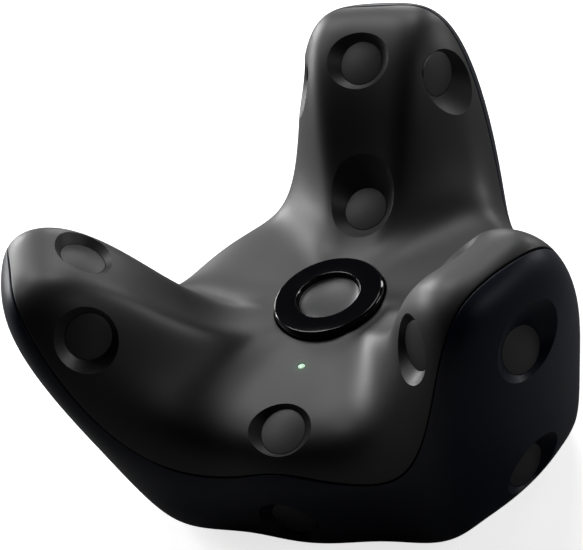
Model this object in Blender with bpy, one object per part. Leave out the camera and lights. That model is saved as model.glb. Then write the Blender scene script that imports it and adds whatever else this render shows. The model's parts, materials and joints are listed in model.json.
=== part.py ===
"""A wearable motion tracker: a three-armed puck with a dish between its raised arms, a power button in the
dish, a ring of conical sensor dimples, and a round mounting base underneath.

The outside is one smooth skin, lofted round the body's upright axis. Each point of it has an azimuth and a
level: level 0 is the middle of the dish, SEAM is the parting line between the top cover and the lower
housing, and FOOT is the edge of the flat underside. At each azimuth the skin is a blend of two profiles, the
one along an arm and the one across a web between two arms.

Sizes are in metres, through MM. +Z is up, +Y points at the rear arm, and the base pad's underside is z = 0.
"""

import math

import bmesh
import bpy
import numpy as np
from mathutils import Matrix, Vector

MM = 0.001

# Where the body's upright axis stands, so that the origin is the middle of the whole outline.
AXIS_Y = -7.25 * MM

# The skin's outline: how far the arms and the webs reach from the axis, in millimetres.
ARM_REACH = 40.4
REAR_ARM_EXTRA = 1.3
WEB_REACH = 28.7
FRONT_WEB_REACH = 26.8

# The two profiles, as (radius, height) in millimetres at levels 0, 1, 2 ... 10.
ARM_PROFILE = (
    (0.0, 22.3), (8.4, 22.3), (17.2, 26.7), (25.0, 36.8), (32.8, 43.6), (39.7, 42.7),
    (41.3, 34.5), (38.6, 22.1), (34.7, 8.7), (29.6, 1.0), (20.5, 0.8),
)
WEB_PROFILE = (
    (0.0, 22.3), (8.3, 22.4), (16.1, 22.0), (22.7, 21.5), (26.9, 19.8), (28.9, 16.1),
    (29.1, 12.2), (28.1, 6.0), (27.2, 1.6), (25.0, 0.8), (21.5, 0.8),
)
SEAM = 5.0
FOOT = 10.0

# How the skin passes from web to arm: a steepness and a bias, for the outline and for the profile.
OUTLINE_STEEPNESS, OUTLINE_BIAS = 1.83, 1.25
PROFILE_STEEPNESS, PROFILE_BIAS = 2.25, 2.30
REAR_ARM_WIDENING = 0.81
SIDE_ARM_TURN = math.radians(3.5)
FRONT_WEB_HALF_WIDTH = math.radians(32.0)
FRONT_WEB_LIFT = -1.7
REAR_WEB_LIFT = -0.95
FLANK_LIFT, REAR_FLANK_LIFT = 0.52, 0.95
FLANK_SWELL, REAR_FLANK_WAIST = 0.020, 0.047
SEAM_WAVE_BY_SIX, SEAM_WAVE_BY_THREE, SEAM_WAVE_BY_ONE = -0.34, 0.06, -0.14

# Walls and clearances.
WALL = 1.8 * MM
GAP = 0.3 * MM
SEAM_HALF_GAP = 0.05
SEAM_INNER_HALF_GAP = 0.45
AZIMUTH_STEPS = 48

# The arms' azimuths, after the side arms' turn.
REAR = math.radians(90.0)
LEFT = math.radians(206.9)
RIGHT = math.radians(333.1)
FRONT = math.radians(270.0)

# A sensor dimple: a window disc at the bottom of a cone that flares to the skin.
WINDOW_RADIUS = 3.15 * MM
WINDOW_THICK = 0.9 * MM
DIMPLE_FLARE = 1.12
CUP_FLOOR = 1.2 * MM
CUP_WALL = 1.2 * MM
SENSOR_RADIUS = 2.9 * MM
SENSOR_THICK = 1.2 * MM

# The base: a plate in a round opening of the housing's floor, with a friction pad under it.
FLOOR_Z = 0.8 * MM
BASE_OPENING = 17.5 * MM
PLATE_RADIUS = 17.2 * MM
PLATE_FLANGE = 19.3 * MM
PLATE_Z = (1.0 * MM, 3.2 * MM, 4.4 * MM)
PAD_RADIUS = 16.8 * MM
PAD_TOP = 0.7 * MM
THREAD_BORE = 3.175 * MM
INSERT_RADIUS = 4.4 * MM
INSERT_FLANGE = 6.0 * MM
INSERT_Z = (1.2 * MM, 4.7 * MM, 5.5 * MM, 7.0 * MM)
INSERT_BORE_TOP = 6.2 * MM
PIN_RECESS_RADIUS = 2.75 * MM
PIN_RECESS_Y = 12.7 * MM
CONTACT_SLOT = (12.6 * MM, 3.2 * MM)
CONTACT_Y = -12.2 * MM

# The power button, its switch, and the status light in the dish.
BUTTON_TOP = 23.3 * MM
BUTTON_RADIUS = 7.8 * MM
BUTTON_INNER = 4.4 * MM
COVER_HOLE = 8.1 * MM
DISH_CUT_Z = (15.0 * MM, 30.0 * MM)
SWITCH_RADIUS, SWITCH_TOP = 3.2 * MM, 17.5 * MM
SWITCH_WELL, SWITCH_WELL_Z = 1.7 * MM, 15.6 * MM
LIGHT_Y = -12.4 * MM
LIGHT_RADIUS = 0.6 * MM

# The board and what lies under it.
BOARD_Z = (13.8 * MM, 15.0 * MM)
BOARD_WEB_REACH = 20.5 * MM
BOARD_ARM_REACH = 27.5 * MM
TRAY_SIZE = (32.0 * MM, 22.0 * MM)
TRAY_Z = (4.7 * MM, 7.4 * MM, 8.2 * MM, 10.6 * MM)
CELL_SIZE = (29.0 * MM, 19.0 * MM)
CELL_Z = (8.5 * MM, 13.0 * MM)

# The screws that pull the cover down, one in the root of each arm.
SCREW_REACH = 24.5 * MM
BOSS_RADIUS = 2.4 * MM
BOSS_FOOT_Z = 6.0 * MM
BOSS_ROOF_LEVEL = 2.85
TOWER_RADIUS = 3.8 * MM
TOWER_LOW_Z, TOWER_TOP_Z = 1.2 * MM, 5.7 * MM
SCREW_SHANK = 1.2 * MM
SCREW_HOLE = 1.5 * MM
SCREW_HEAD = 2.3 * MM
SCREW_HEAD_Z = (2.4 * MM, 3.9 * MM)
SCREW_TOP_Z = 15.0 * MM


def clear_scene():
    for old in list(bpy.data.objects):
        bpy.data.objects.remove(old)


# ---------------------------------------------------------------- the skin


def natural_spline(values):
    """The natural cubic through values at 0, 1, 2 ..., as a function of the position along them."""
    values = np.array(values)
    count = len(values)
    rows = np.eye(count)
    right = np.zeros(count)
    for i in range(1, count - 1):
        rows[i, i - 1:i + 2] = (1.0, 4.0, 1.0)
        right[i] = 6.0 * (values[i - 1] - 2.0 * values[i] + values[i + 1])
    bend = np.linalg.solve(rows, right)

    def at(position):
        low = np.clip(np.floor(position).astype(int), 0, count - 2)
        u = position - low
        straight = (1.0 - u) * values[low] + u * values[low + 1]
        curved = ((1.0 - u) ** 3 - (1.0 - u)) * bend[low] + (u ** 3 - u) * bend[low + 1]
        return straight + curved / 6.0

    return at


ARM_RADIUS = natural_spline([radius / ARM_REACH for radius, _ in ARM_PROFILE])
ARM_HEIGHT = natural_spline([height for _, height in ARM_PROFILE])
WEB_RADIUS = natural_spline([radius / WEB_REACH for radius, _ in WEB_PROFILE])
WEB_HEIGHT = natural_spline([height for _, height in WEB_PROFILE])


def smooth(x):
    x = np.clip(x, 0.0, 1.0)
    return x * x * (3.0 - 2.0 * x)


def passage(share, steepness, bias):
    """0 in the middle of a web, 1 in the middle of an arm."""
    arm = share ** steepness
    web = np.exp(bias) * (1.0 - share) ** steepness
    return arm / (arm + web)


def skin(azimuth, level):
    """Points of the skin. azimuth and level are numbers or arrays that broadcast together."""
    azimuth, level = np.broadcast_arrays(np.asarray(azimuth, float), np.asarray(level, float))
    from_rear = azimuth - REAR
    towards_rear = np.cos(from_rear)
    rear_arm = smooth(np.clip((towards_rear - 0.3) / 0.7, 0.0, 1.0) ** 0.7)
    rear_half = smooth(towards_rear + 0.5)
    turned = from_rear + SIDE_ARM_TURN * np.sin(from_rear)
    share = np.clip(np.cos(1.5 * turned) ** 2, 0.0, 1.0)
    from_front = (azimuth - FRONT + math.pi) % (2.0 * math.pi) - math.pi
    front_web = np.exp(-(from_front / FRONT_WEB_HALF_WIDTH) ** 4)

    outline = passage(share, OUTLINE_STEEPNESS, OUTLINE_BIAS - REAR_ARM_WIDENING * rear_arm)
    profile = passage(share, PROFILE_STEEPNESS, PROFILE_BIAS - REAR_ARM_WIDENING * rear_arm)
    flank = 4.0 * outline * (1.0 - outline)
    web_reach = WEB_REACH + (FRONT_WEB_REACH - WEB_REACH) * front_web
    reach = web_reach + (ARM_REACH + REAR_ARM_EXTRA * rear_arm - web_reach) * outline
    reach = reach * (1.0 + flank * (FLANK_SWELL - REAR_FLANK_WAIST * rear_half))

    wave = SEAM_WAVE_BY_SIX * np.cos(6.0 * from_rear) + SEAM_WAVE_BY_THREE * np.cos(3.0 * from_rear)
    wave = wave + SEAM_WAVE_BY_ONE * np.cos(from_rear)
    seam = SEAM + wave
    above = level * seam / SEAM
    below = seam + (level - SEAM) * (FOOT - seam) / (FOOT - SEAM)
    at = np.where(level <= SEAM, above, below)

    radius = reach * (profile * ARM_RADIUS(at) + (1.0 - profile) * WEB_RADIUS(at))
    lift = FRONT_WEB_LIFT * front_web + REAR_WEB_LIFT * (1.0 - front_web) * (1.0 - profile)
    lift = lift + flank * (FLANK_LIFT + REAR_FLANK_LIFT * rear_half)
    hump = np.clip(at / SEAM, 0.0, 1.0) * np.clip((FOOT - at) / SEAM, 0.0, 1.0)
    height = profile * ARM_HEIGHT(at) + (1.0 - profile) * WEB_HEIGHT(at) + lift * hump
    return np.stack([radius * np.cos(azimuth), radius * np.sin(azimuth), height], -1) * MM


def skin_normal(azimuth, level):
    """The outward normal, from two short steps along the skin."""
    step = 0.02
    level = np.clip(level, 0.1, FOOT - step)
    along = skin(azimuth, level + step) - skin(azimuth, level - step)
    around = skin(azimuth + step, level) - skin(azimuth - step, level)
    normal = np.cross(along, around)
    return normal / np.linalg.norm(normal, axis=-1, keepdims=True)


def under_skin(azimuth, level, depth):
    return skin(azimuth, level) - depth * skin_normal(azimuth, level)


# ---------------------------------------------------------------- building meshes


def material(name, colour, roughness, metallic=0.0):
    made = bpy.data.materials.new(name)
    made.use_nodes = True
    shader = made.node_tree.nodes["Principled BSDF"]
    shader.inputs["Base Color"].default_value = (*colour, 1.0)
    shader.inputs["Roughness"].default_value = roughness
    shader.inputs["Metallic"].default_value = metallic
    made.diffuse_color = (*colour, 1.0)
    return made


def new_object(name, mesh_maker, finish, parent=None, matrix=None, flat=False):
    """An object whose mesh the given function fills."""
    mesh = bpy.data.meshes.new(name)
    work = bmesh.new()
    mesh_maker(work)
    bmesh.ops.recalc_face_normals(work, faces=work.faces)
    if work.calc_volume(signed=True) < 0.0:
        bmesh.ops.reverse_faces(work, faces=work.faces)
    work.to_mesh(mesh)
    work.free()
    if not flat:
        mesh.shade_smooth()
        mesh.set_sharp_from_angle(angle=math.radians(35.0))
    made = bpy.data.objects.new(name, mesh)
    if finish:
        mesh.materials.append(finish)
    made.parent = parent
    if matrix is not None:
        made.matrix_local = matrix
    bpy.context.scene.collection.objects.link(made)
    return made


def add_lathe(work, profile, steps, matrix=None):
    """A solid turned round Z from (radius, height) points. Points on the axis become poles."""
    rings = []
    for radius, height in profile:
        count = 1 if radius < 1e-9 else steps
        ring = []
        for i in range(count):
            angle = 2.0 * math.pi * i / steps
            spot = Vector((radius * math.cos(angle), radius * math.sin(angle), height))
            ring.append(work.verts.new(matrix @ spot if matrix else spot))
        rings.append(ring)
    closed = len(rings[0]) > 1
    pairs = list(zip(rings, rings[1:]))
    if closed:
        pairs.append((rings[-1], rings[0]))
    for low, high in pairs:
        bridge_rings(work, low, high)


def add_cylinder(work, radius, low, high, steps, matrix=None):
    add_lathe(work, ((0.0, low), (radius, low), (radius, high), (0.0, high)), steps, matrix)


def bridge_rings(work, first, second):
    if len(first) == 1 and len(second) == 1:
        return
    steps = max(len(first), len(second))
    for i in range(steps):
        j = (i + 1) % steps
        if len(first) == 1:
            work.faces.new((first[0], second[j], second[i]))
        elif len(second) == 1:
            work.faces.new((first[i], first[j], second[0]))
        else:
            work.faces.new((first[i], first[j], second[j], second[i]))


def add_box(work, size, low_z, high_z, centre=(0.0, 0.0), matrix=None):
    across, along = size
    place = Matrix.Translation((centre[0], centre[1], (low_z + high_z) / 2.0))
    scale = Matrix.Diagonal((across, along, high_z - low_z, 1.0))
    place = matrix @ place if matrix else place
    bmesh.ops.create_cube(work, size=1.0, matrix=place @ scale)


def add_prism(work, outline, low_z, high_z, matrix=None):
    """An upright prism on an outline of (x, y) points."""
    ends = []
    for height in (low_z, high_z):
        spots = [Vector((x, y, height)) for x, y in outline]
        ends.append([work.verts.new(matrix @ spot if matrix else spot) for spot in spots])
    work.faces.new(ends[0])
    work.faces.new(ends[1])
    bridge_rings(work, ends[0], ends[1])


def stadium(length, width, steps=8):
    """A slot's outline: a straight run with round ends, along X."""
    radius = width / 2.0
    reach = length / 2.0 - radius
    turns = [math.pi * i / steps - math.pi / 2.0 for i in range(steps + 1)]
    right = [(reach + radius * math.cos(a), radius * math.sin(a)) for a in turns]
    return right + [(-x, -y) for x, y in right]


def rounded_box(length, width, corner, steps=4):
    outline = []
    for quarter, (sx, sy) in enumerate(((1, 1), (-1, 1), (-1, -1), (1, -1))):
        for i in range(steps + 1):
            angle = (quarter + i / steps) * math.pi / 2.0
            x = sx * (length / 2.0 - corner) + corner * math.cos(angle)
            y = sy * (width / 2.0 - corner) + corner * math.sin(angle)
            outline.append((x, y))
    return outline


def cut(target, cutter, operation="DIFFERENCE"):
    """Adds a Boolean with the cutter, which is left out of the object itself."""
    cutter.hide_render = True
    cutter.display_type = "WIRE"
    change = target.modifiers.new(cutter.name, "BOOLEAN")
    change.operation = operation
    change.solver = "EXACT"
    change.object = cutter


def ring_points(level, depth):
    """One row of the shell: points round the body at a level, some depth under the skin."""
    turns = np.arange(AZIMUTH_STEPS) * (2.0 * math.pi / AZIMUTH_STEPS)
    if level < 1e-9:
        middle = skin(0.0, 0.0)
        return [Vector((0.0, 0.0, middle[2] - depth))]
    rows = under_skin(turns, np.full(AZIMUTH_STEPS, level), depth)
    return [Vector(row) for row in rows]


def circle_points(radius, height):
    turns = [2.0 * math.pi * i / AZIMUTH_STEPS for i in range(AZIMUTH_STEPS)]
    return [Vector((radius * math.cos(a), radius * math.sin(a), height)) for a in turns]


def add_rings(work, rows, closed):
    rings = [[work.verts.new(spot) for spot in row] for row in rows]
    pairs = list(zip(rings, rings[1:]))
    if closed:
        pairs.append((rings[-1], rings[0]))
    for first, second in pairs:
        bridge_rings(work, first, second)


# ---------------------------------------------------------------- the sensor dimples


def screw_places():
    """Where the three screws stand, one in the root of each arm."""
    for arm in (REAR, LEFT, RIGHT):
        yield arm, Matrix.Translation((SCREW_REACH * math.cos(arm), SCREW_REACH * math.sin(arm), 0.0))


def direction(azimuth, elevation):
    flat = math.cos(elevation)
    return Vector((flat * math.cos(azimuth), flat * math.sin(azimuth), math.sin(elevation)))


def dimple_places():
    """Every dimple's name, shell, and matrix: its origin is the window's face, and its Z points out."""
    places = []

    def add(name, shell, azimuth, level, depth, facing, elevation):
        outward = direction(facing, math.radians(elevation))
        centre = Vector(skin(azimuth, level)) - outward * (depth * MM)
        turn = outward.to_track_quat("Z", "Y").to_matrix().to_4x4()
        places.append((name, shell, Matrix.Translation(centre) @ turn))

    def add_arm(arm_name, arm, inner_turn, inner_level, flank_turn, flank_level, depth, facing_turn, rise):
        inner = arm + math.radians(inner_turn)
        add(f"{arm_name}_arm_inner", "cover", inner, inner_level, 1.2, arm + math.pi, 52.0)
        for side_name, side in (("a", 1.0), ("b", -1.0)):
            place = arm + math.radians(flank_turn) * side
            facing = arm + math.radians(facing_turn) * side
            add(f"{arm_name}_arm_flank_{side_name}", "cover", place, flank_level, depth, facing, rise)
        add(f"{arm_name}_arm_end", "housing", arm, 6.45, 2.0, arm, 10.0)
        add(f"{arm_name}_arm_foot", "housing", arm, 8.25, 1.6, arm, -6.0)

    add_arm("rear", REAR, 1.0, 3.8, 19.4, 4.02, 1.1, 107.0, 6.0)
    add_arm("left", LEFT, -3.0, 3.6, 18.7, 3.8, 1.4, 106.0, 22.0)
    add_arm("right", RIGHT, 3.0, 3.6, 18.7, 3.8, 1.4, 106.0, 22.0)
    add("rear_root", "cover", REAR - math.radians(1.0), 2.0, 1.3, REAR + math.pi, 60.0)
    add("front_web", "cover", FRONT, 3.47, 1.3, FRONT, 66.0)
    add("front_wall", "housing", FRONT - math.radians(4.0), 7.15, 1.4, FRONT - math.radians(2.0), -5.0)
    return places


def add_dimple_cone(work, matrix):
    """The dimple's hollow, with the hole for its window."""
    hole = WINDOW_RADIUS + GAP
    top = 2.6 * MM
    profile = (
        (0.0, -CUP_FLOOR - 2.0 * MM), (hole, -CUP_FLOOR - 2.0 * MM), (hole, 0.0),
        (hole + (top + 1.4 * MM) * DIMPLE_FLARE, top + 1.4 * MM), (0.0, top + 1.4 * MM),
    )
    add_lathe(work, profile, 18, matrix)


def add_dimple_cup(work, matrix):
    """The thicker wall that carries the dimple inside the shell."""
    foot = WINDOW_RADIUS + GAP + CUP_WALL
    top = 2.2 * MM
    profile = ((0.0, -CUP_FLOOR), (foot, -CUP_FLOOR), (foot + top * DIMPLE_FLARE, top), (0.0, top))
    add_lathe(work, profile, 14, matrix)


def make_dimple_parts(places, parent, window_finish, sensor_finish):
    for name, _, matrix in places:
        def window(work):
            add_cylinder(work, WINDOW_RADIUS, -WINDOW_THICK, 0.0, 18)

        def sensor(work):
            top = -CUP_FLOOR - GAP
            add_cylinder(work, SENSOR_RADIUS, top - SENSOR_THICK, top, 10)

        new_object(f"window_{name}", window, window_finish, parent, matrix)
        new_object(f"sensor_{name}", sensor, sensor_finish, parent, matrix)


# ---------------------------------------------------------------- the shells


def levels_between(first, last, count):
    return [first + (last - first) * i / (count - 1) for i in range(count)]


def make_top_cover(places, parent, finish):
    edge = SEAM - SEAM_HALF_GAP
    outer = [0.0] + levels_between(0.7, edge, 10)
    inner = levels_between(SEAM - SEAM_INNER_HALF_GAP, 1.0, 7) + [0.0]

    def shell(work):
        rows = [ring_points(level, 0.0) for level in outer]
        rows += [ring_points(level, WALL) for level in inner]
        add_rings(work, rows, closed=False)

    cover = new_object("top_cover", shell, finish, parent)
    join_cups(cover, [matrix for _, shell_name, matrix in places if shell_name == "cover"], parent)

    def bosses(work):
        for arm, place in screw_places():
            roof = float(skin(arm, BOSS_ROOF_LEVEL)[2])
            add_cylinder(work, BOSS_RADIUS, BOSS_FOOT_Z, roof - WALL, 16, place)

    def boss_holes(work):
        for _, place in screw_places():
            add_cylinder(work, SCREW_HOLE, BOSS_FOOT_Z - MM, SCREW_TOP_Z + GAP, 12, place)

    def dish_holes(work):
        low, high = DISH_CUT_Z
        add_cylinder(work, COVER_HOLE, low, high, 48)
        add_cylinder(work, LIGHT_RADIUS + GAP, low, high, 16, Matrix.Translation((0.0, LIGHT_Y, 0.0)))

    cut(cover, new_object("boss_tool", bosses, None, parent), "UNION")
    cut(cover, new_object("boss_hole_tool", boss_holes, None, parent))
    cut(cover, new_object("dish_hole_tool", dish_holes, None, parent))
    cut_dimples(cover, places, "cover", parent)
    return cover


def make_lower_housing(places, parent, finish):
    edge = SEAM + SEAM_HALF_GAP
    outer = [edge, 5.5, 6.0, 6.7, 7.4, 8.0, 8.5, 9.2, FOOT]
    inner = [FOOT - 0.3, 8.8, 7.6, 6.7, 5.9, SEAM + SEAM_INNER_HALF_GAP]

    def shell(work):
        rows = [ring_points(level, 0.0) for level in outer]
        rows += [circle_points(BASE_OPENING, FLOOR_Z), circle_points(BASE_OPENING, FLOOR_Z + WALL)]
        rows += [ring_points(level, WALL) for level in inner]
        add_rings(work, rows, closed=True)

    housing = new_object("lower_housing", shell, finish, parent)
    join_cups(housing, [matrix for _, shell_name, matrix in places if shell_name == "housing"], parent)

    def towers(work):
        for _, place in screw_places():
            add_cylinder(work, TOWER_RADIUS, TOWER_LOW_Z, TOWER_TOP_Z, 20, place)

    def tower_holes(work):
        well = SCREW_HEAD + GAP
        shelf = SCREW_HEAD_Z[1] + GAP
        top = TOWER_TOP_Z + MM
        profile = ((0.0, -MM), (well, -MM), (well, shelf), (SCREW_HOLE, shelf), (SCREW_HOLE, top), (0.0, top))
        for _, place in screw_places():
            add_lathe(work, profile, 16, place)

    def port_hole(work):
        add_prism(work, stadium(9.6 * MM, 3.9 * MM), -8.0 * MM, 8.0 * MM, port_matrix(29.0 * MM))

    cut(housing, new_object("tower_tool", towers, None, parent), "UNION")
    cut(housing, new_object("tower_hole_tool", tower_holes, None, parent))
    cut(housing, new_object("port_hole_tool", port_hole, None, parent))
    cut_dimples(housing, places, "housing", parent)
    return housing


def join_cups(shell, matrices, parent):
    """Adds the dimples' cups to a shell, trimmed to stay half a wall under the skin."""
    def cups(work):
        for matrix in matrices:
            add_dimple_cup(work, matrix)

    def core(work):
        depth = WALL * 0.6
        rows = [ring_points(level, depth) for level in [0.0, 0.5] + levels_between(1.0, 9.6, 18)]
        rows.append([Vector((0.0, 0.0, FLOOR_Z + depth))])
        add_rings(work, rows, closed=False)

    cup_tool = new_object(f"{shell.name}_cup_tool", cups, None, parent)
    core_tool = new_object(f"{shell.name}_core_tool", core, None, parent)
    cut(cup_tool, core_tool, "INTERSECT")
    cut(shell, cup_tool, "UNION")


def cut_dimples(shell, places, shell_name, parent):
    def cones(work):
        for _, owner, matrix in places:
            if owner == shell_name:
                add_dimple_cone(work, matrix)

    cut(shell, new_object(f"{shell.name}_dimple_tool", cones, None, parent))


# ---------------------------------------------------------------- button, switch and light


def make_button(parent, gloss, matte, metal, switch_finish):
    """The gloss ring and its matte centre move together, and press the switch's plunger."""
    def ring(work):
        flange = BUTTON_RADIUS + 1.1 * MM
        add_lathe(work, (
            (BUTTON_INNER, -0.3 * MM), (BUTTON_INNER + 0.3 * MM, 0.0), (BUTTON_RADIUS - 0.4 * MM, 0.0),
            (BUTTON_RADIUS, -0.4 * MM), (BUTTON_RADIUS, -3.3 * MM), (flange, -3.3 * MM),
            (flange, -3.8 * MM), (BUTTON_INNER, -3.8 * MM),
        ), 48)

    def cap(work):
        radius = BUTTON_INNER - GAP
        rim = -0.55 * MM
        dish = [(radius * (1.0 - i / 5.0), rim - 0.5 * MM * math.sin(math.pi * i / 10.0)) for i in range(6)]
        profile = [(0.0, -4.9 * MM), (1.5 * MM, -4.9 * MM), (1.5 * MM, -4.6 * MM), (6.0 * MM, -4.6 * MM)]
        profile += [(6.0 * MM, -4.1 * MM), (radius, -4.1 * MM)] + dish
        add_lathe(work, profile, 36)

    def plunger(work):
        add_cylinder(work, 1.4 * MM, -7.0 * MM, -5.2 * MM, 16)

    place = Matrix.Translation((0.0, 0.0, BUTTON_TOP))
    new_object("power_button_ring", ring, gloss, parent, place)
    new_object("power_button_cap", cap, matte, parent, place)
    new_object("switch_plunger", plunger, switch_finish, parent, place)

    def switch(work):
        low = BOARD_Z[1] + GAP
        add_lathe(work, (
            (0.0, low), (SWITCH_RADIUS, low), (SWITCH_RADIUS, SWITCH_TOP), (SWITCH_WELL, SWITCH_TOP),
            (SWITCH_WELL, SWITCH_WELL_Z), (0.0, SWITCH_WELL_Z),
        ), 20)

    new_object("tact_switch", switch, metal, parent)


def make_light(parent, clear, emitter):
    """A light pipe from the LED on the board to the dish, with a small round lens flush with the skin."""
    top = float(skin(FRONT, light_level())[2])
    place = Matrix.Translation((0.0, LIGHT_Y, 0.0))
    shoulder = top - WALL - 1.0 * MM

    def lens(work):
        profile = (
            (0.0, 17.0 * MM), (1.3 * MM, 17.0 * MM), (1.3 * MM, shoulder), (LIGHT_RADIUS, shoulder),
            (LIGHT_RADIUS, top - 0.1 * MM), (0.0, top + 0.1 * MM),
        )
        add_lathe(work, profile, 20, place)

    def led(work):
        add_box(work, (1.6 * MM, 1.6 * MM), BOARD_Z[1] + GAP, 16.5 * MM, (0.0, LIGHT_Y))

    new_object("status_light_pipe", lens, clear, parent)
    new_object("status_led", led, emitter, parent)


def light_level():
    """The level at which the dish's front reaches the light's place, by halving."""
    low, high = 0.5, SEAM
    for _ in range(40):
        middle = (low + high) / 2.0
        if skin(FRONT, middle)[1] > LIGHT_Y:
            low = middle
        else:
            high = middle
    return low


# ---------------------------------------------------------------- inside


def port_matrix(radius):
    """The USB port's frame: Z points out through the rear-right web's wall."""
    azimuth = math.radians(30.0)
    turn = Matrix.Rotation(azimuth + math.pi / 2.0, 4, "Z") @ Matrix.Rotation(math.pi / 2.0, 4, "X")
    height = BOARD_Z[0] - GAP - 1.63 * MM
    place = Matrix.Translation((radius * math.cos(azimuth), radius * math.sin(azimuth), height))
    return place @ turn


def make_board(parent, finish):
    """The main board follows the body's three arms, with clearance holes for the cover's screw bosses."""
    def board(work):
        outline = []
        for i in range(96):
            azimuth = 2.0 * math.pi * i / 96
            share = math.cos(1.5 * (azimuth - REAR + SIDE_ARM_TURN * math.sin(azimuth - REAR))) ** 2
            reach = BOARD_WEB_REACH + (BOARD_ARM_REACH - BOARD_WEB_REACH) * float(smooth(share))
            outline.append((reach * math.cos(azimuth), reach * math.sin(azimuth)))
        add_prism(work, outline, *BOARD_Z)

    def holes(work):
        for _, place in screw_places():
            add_cylinder(work, BOSS_RADIUS + GAP, BOARD_Z[0] - MM, BOARD_Z[1] + MM, 16, place)

    made = new_object("main_board", board, finish, parent, flat=True)
    cut(made, new_object("board_hole_tool", holes, None, parent))


def make_board_parts(parent, metal, chip, ceramic):
    top = BOARD_Z[1] + GAP

    def block(name, size, centre, height, finish):
        def fill(work):
            add_box(work, size, top, top + height, centre)

        new_object(name, fill, finish, parent, flat=True)

    block("radio_shield", (9.0 * MM, 8.0 * MM), (-10.0 * MM, 6.0 * MM), 1.8 * MM, metal)
    block("main_processor", (7.0 * MM, 7.0 * MM), (10.0 * MM, 6.0 * MM), 1.0 * MM, chip)
    block("motion_sensor", (3.0 * MM, 3.0 * MM), (0.0, 9.0 * MM), 0.9 * MM, chip)
    block("antenna_left", (7.0 * MM, 2.6 * MM), (-18.0 * MM, -5.0 * MM), 1.2 * MM, ceramic)
    block("antenna_right", (7.0 * MM, 2.6 * MM), (18.0 * MM, -5.0 * MM), 1.2 * MM, ceramic)


def make_usb_port(parent, metal):
    """The socket's metal shell, with its tongue, on the board's underside."""
    def socket(work):
        add_prism(work, stadium(8.94 * MM, 3.26 * MM), -6.8 * MM, 0.0)

    def pocket(work):
        add_prism(work, stadium(8.34 * MM, 2.56 * MM), -6.0 * MM, 1.0 * MM)

    def tongue(work):
        add_box(work, (6.7 * MM, 0.7 * MM), -6.4 * MM, -0.9 * MM)

    place = port_matrix(26.2 * MM)
    made = new_object("usb_port", socket, metal, parent, place)
    cut(made, new_object("usb_pocket_tool", pocket, None, parent, place))
    cut(made, new_object("usb_tongue_tool", tongue, None, parent, place), "UNION")


def make_battery(parent, tray_finish, cell_finish):
    corner = 3.0 * MM

    def tray(work):
        add_prism(work, rounded_box(*TRAY_SIZE, corner), TRAY_Z[0], TRAY_Z[3])

    def pockets(work):
        inner = (TRAY_SIZE[0] - 2.0 * MM, TRAY_SIZE[1] - 2.0 * MM)
        add_prism(work, rounded_box(*inner, corner), TRAY_Z[2], TRAY_Z[3] + MM)
        add_prism(work, rounded_box(*inner, corner), TRAY_Z[0] - MM, TRAY_Z[1])

    def cell(work):
        add_prism(work, rounded_box(*CELL_SIZE, 2.0 * MM), *CELL_Z)

    made = new_object("battery_tray", tray, tray_finish, parent)
    cut(made, new_object("tray_pocket_tool", pockets, None, parent))
    new_object("battery_cell", cell, cell_finish, parent)


# ---------------------------------------------------------------- the base


def make_base(parent, plate_finish, pad_finish, brass, contact_finish):
    low, shelf, top = PLATE_Z

    def plate(work):
        hole = INSERT_RADIUS + GAP
        add_lathe(work, (
            (hole, low), (PLATE_RADIUS, low), (PLATE_RADIUS, shelf), (PLATE_FLANGE, shelf),
            (PLATE_FLANGE, top), (hole, top),
        ), 56)

    def plate_cuts(work):
        slot = [side + 2.0 * GAP for side in CONTACT_SLOT]
        add_box(work, slot, -MM, top + MM, (0.0, CONTACT_Y))
        add_cylinder(work, PIN_RECESS_RADIUS, -MM, shelf, 24, Matrix.Translation((0.0, PIN_RECESS_Y, 0.0)))

    def pad(work):
        hole = INSERT_FLANGE
        add_lathe(work, ((hole, 0.0), (PAD_RADIUS, 0.0), (PAD_RADIUS, PAD_TOP), (hole, PAD_TOP)), 56)

    def pad_cuts(work):
        place = Matrix.Translation((0.0, CONTACT_Y, 0.0))
        add_prism(work, stadium(15.0 * MM, 5.4 * MM), -MM, PAD_TOP + MM, place)
        hole = PIN_RECESS_RADIUS + 0.5 * MM
        add_cylinder(work, hole, -MM, PAD_TOP + MM, 24, Matrix.Translation((0.0, PIN_RECESS_Y, 0.0)))

    def insert(work):
        base, flange_low, flange_top, crown = INSERT_Z
        add_lathe(work, (
            (0.0, INSERT_BORE_TOP), (THREAD_BORE, INSERT_BORE_TOP), (THREAD_BORE, base + 0.4 * MM),
            (THREAD_BORE + 0.4 * MM, base), (INSERT_RADIUS, base), (INSERT_RADIUS, flange_low),
            (INSERT_FLANGE, flange_low), (INSERT_FLANGE, flange_top), (INSERT_RADIUS, flange_top),
            (INSERT_RADIUS, crown), (0.0, crown),
        ), 32)

    def contacts(work):
        add_box(work, CONTACT_SLOT, low, top - 0.4 * MM, (0.0, CONTACT_Y))

    base_plate = new_object("base_plate", plate, plate_finish, parent)
    cut(base_plate, new_object("plate_tool", plate_cuts, None, parent))
    friction_pad = new_object("friction_pad", pad, pad_finish, parent)
    cut(friction_pad, new_object("pad_tool", pad_cuts, None, parent))
    new_object("thread_insert", insert, brass, parent)
    new_object("contact_block", contacts, contact_finish, parent, flat=True)


def make_screws(parent, finish):
    head_low, head_top = SCREW_HEAD_Z
    for name, (_, place) in zip(("rear", "left", "right"), screw_places()):
        def screw(work):
            add_lathe(work, (
                (0.0, head_low + 0.8 * MM), (0.8 * MM, head_low + 0.8 * MM), (0.8 * MM, head_low),
                (SCREW_HEAD - 0.3 * MM, head_low), (SCREW_HEAD, head_low + 0.3 * MM), (SCREW_HEAD, head_top),
                (SCREW_SHANK, head_top), (SCREW_SHANK, SCREW_TOP_Z), (0.0, SCREW_TOP_Z),
            ), 18)

        new_object(f"screw_{name}", screw, finish, parent, place)


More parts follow.
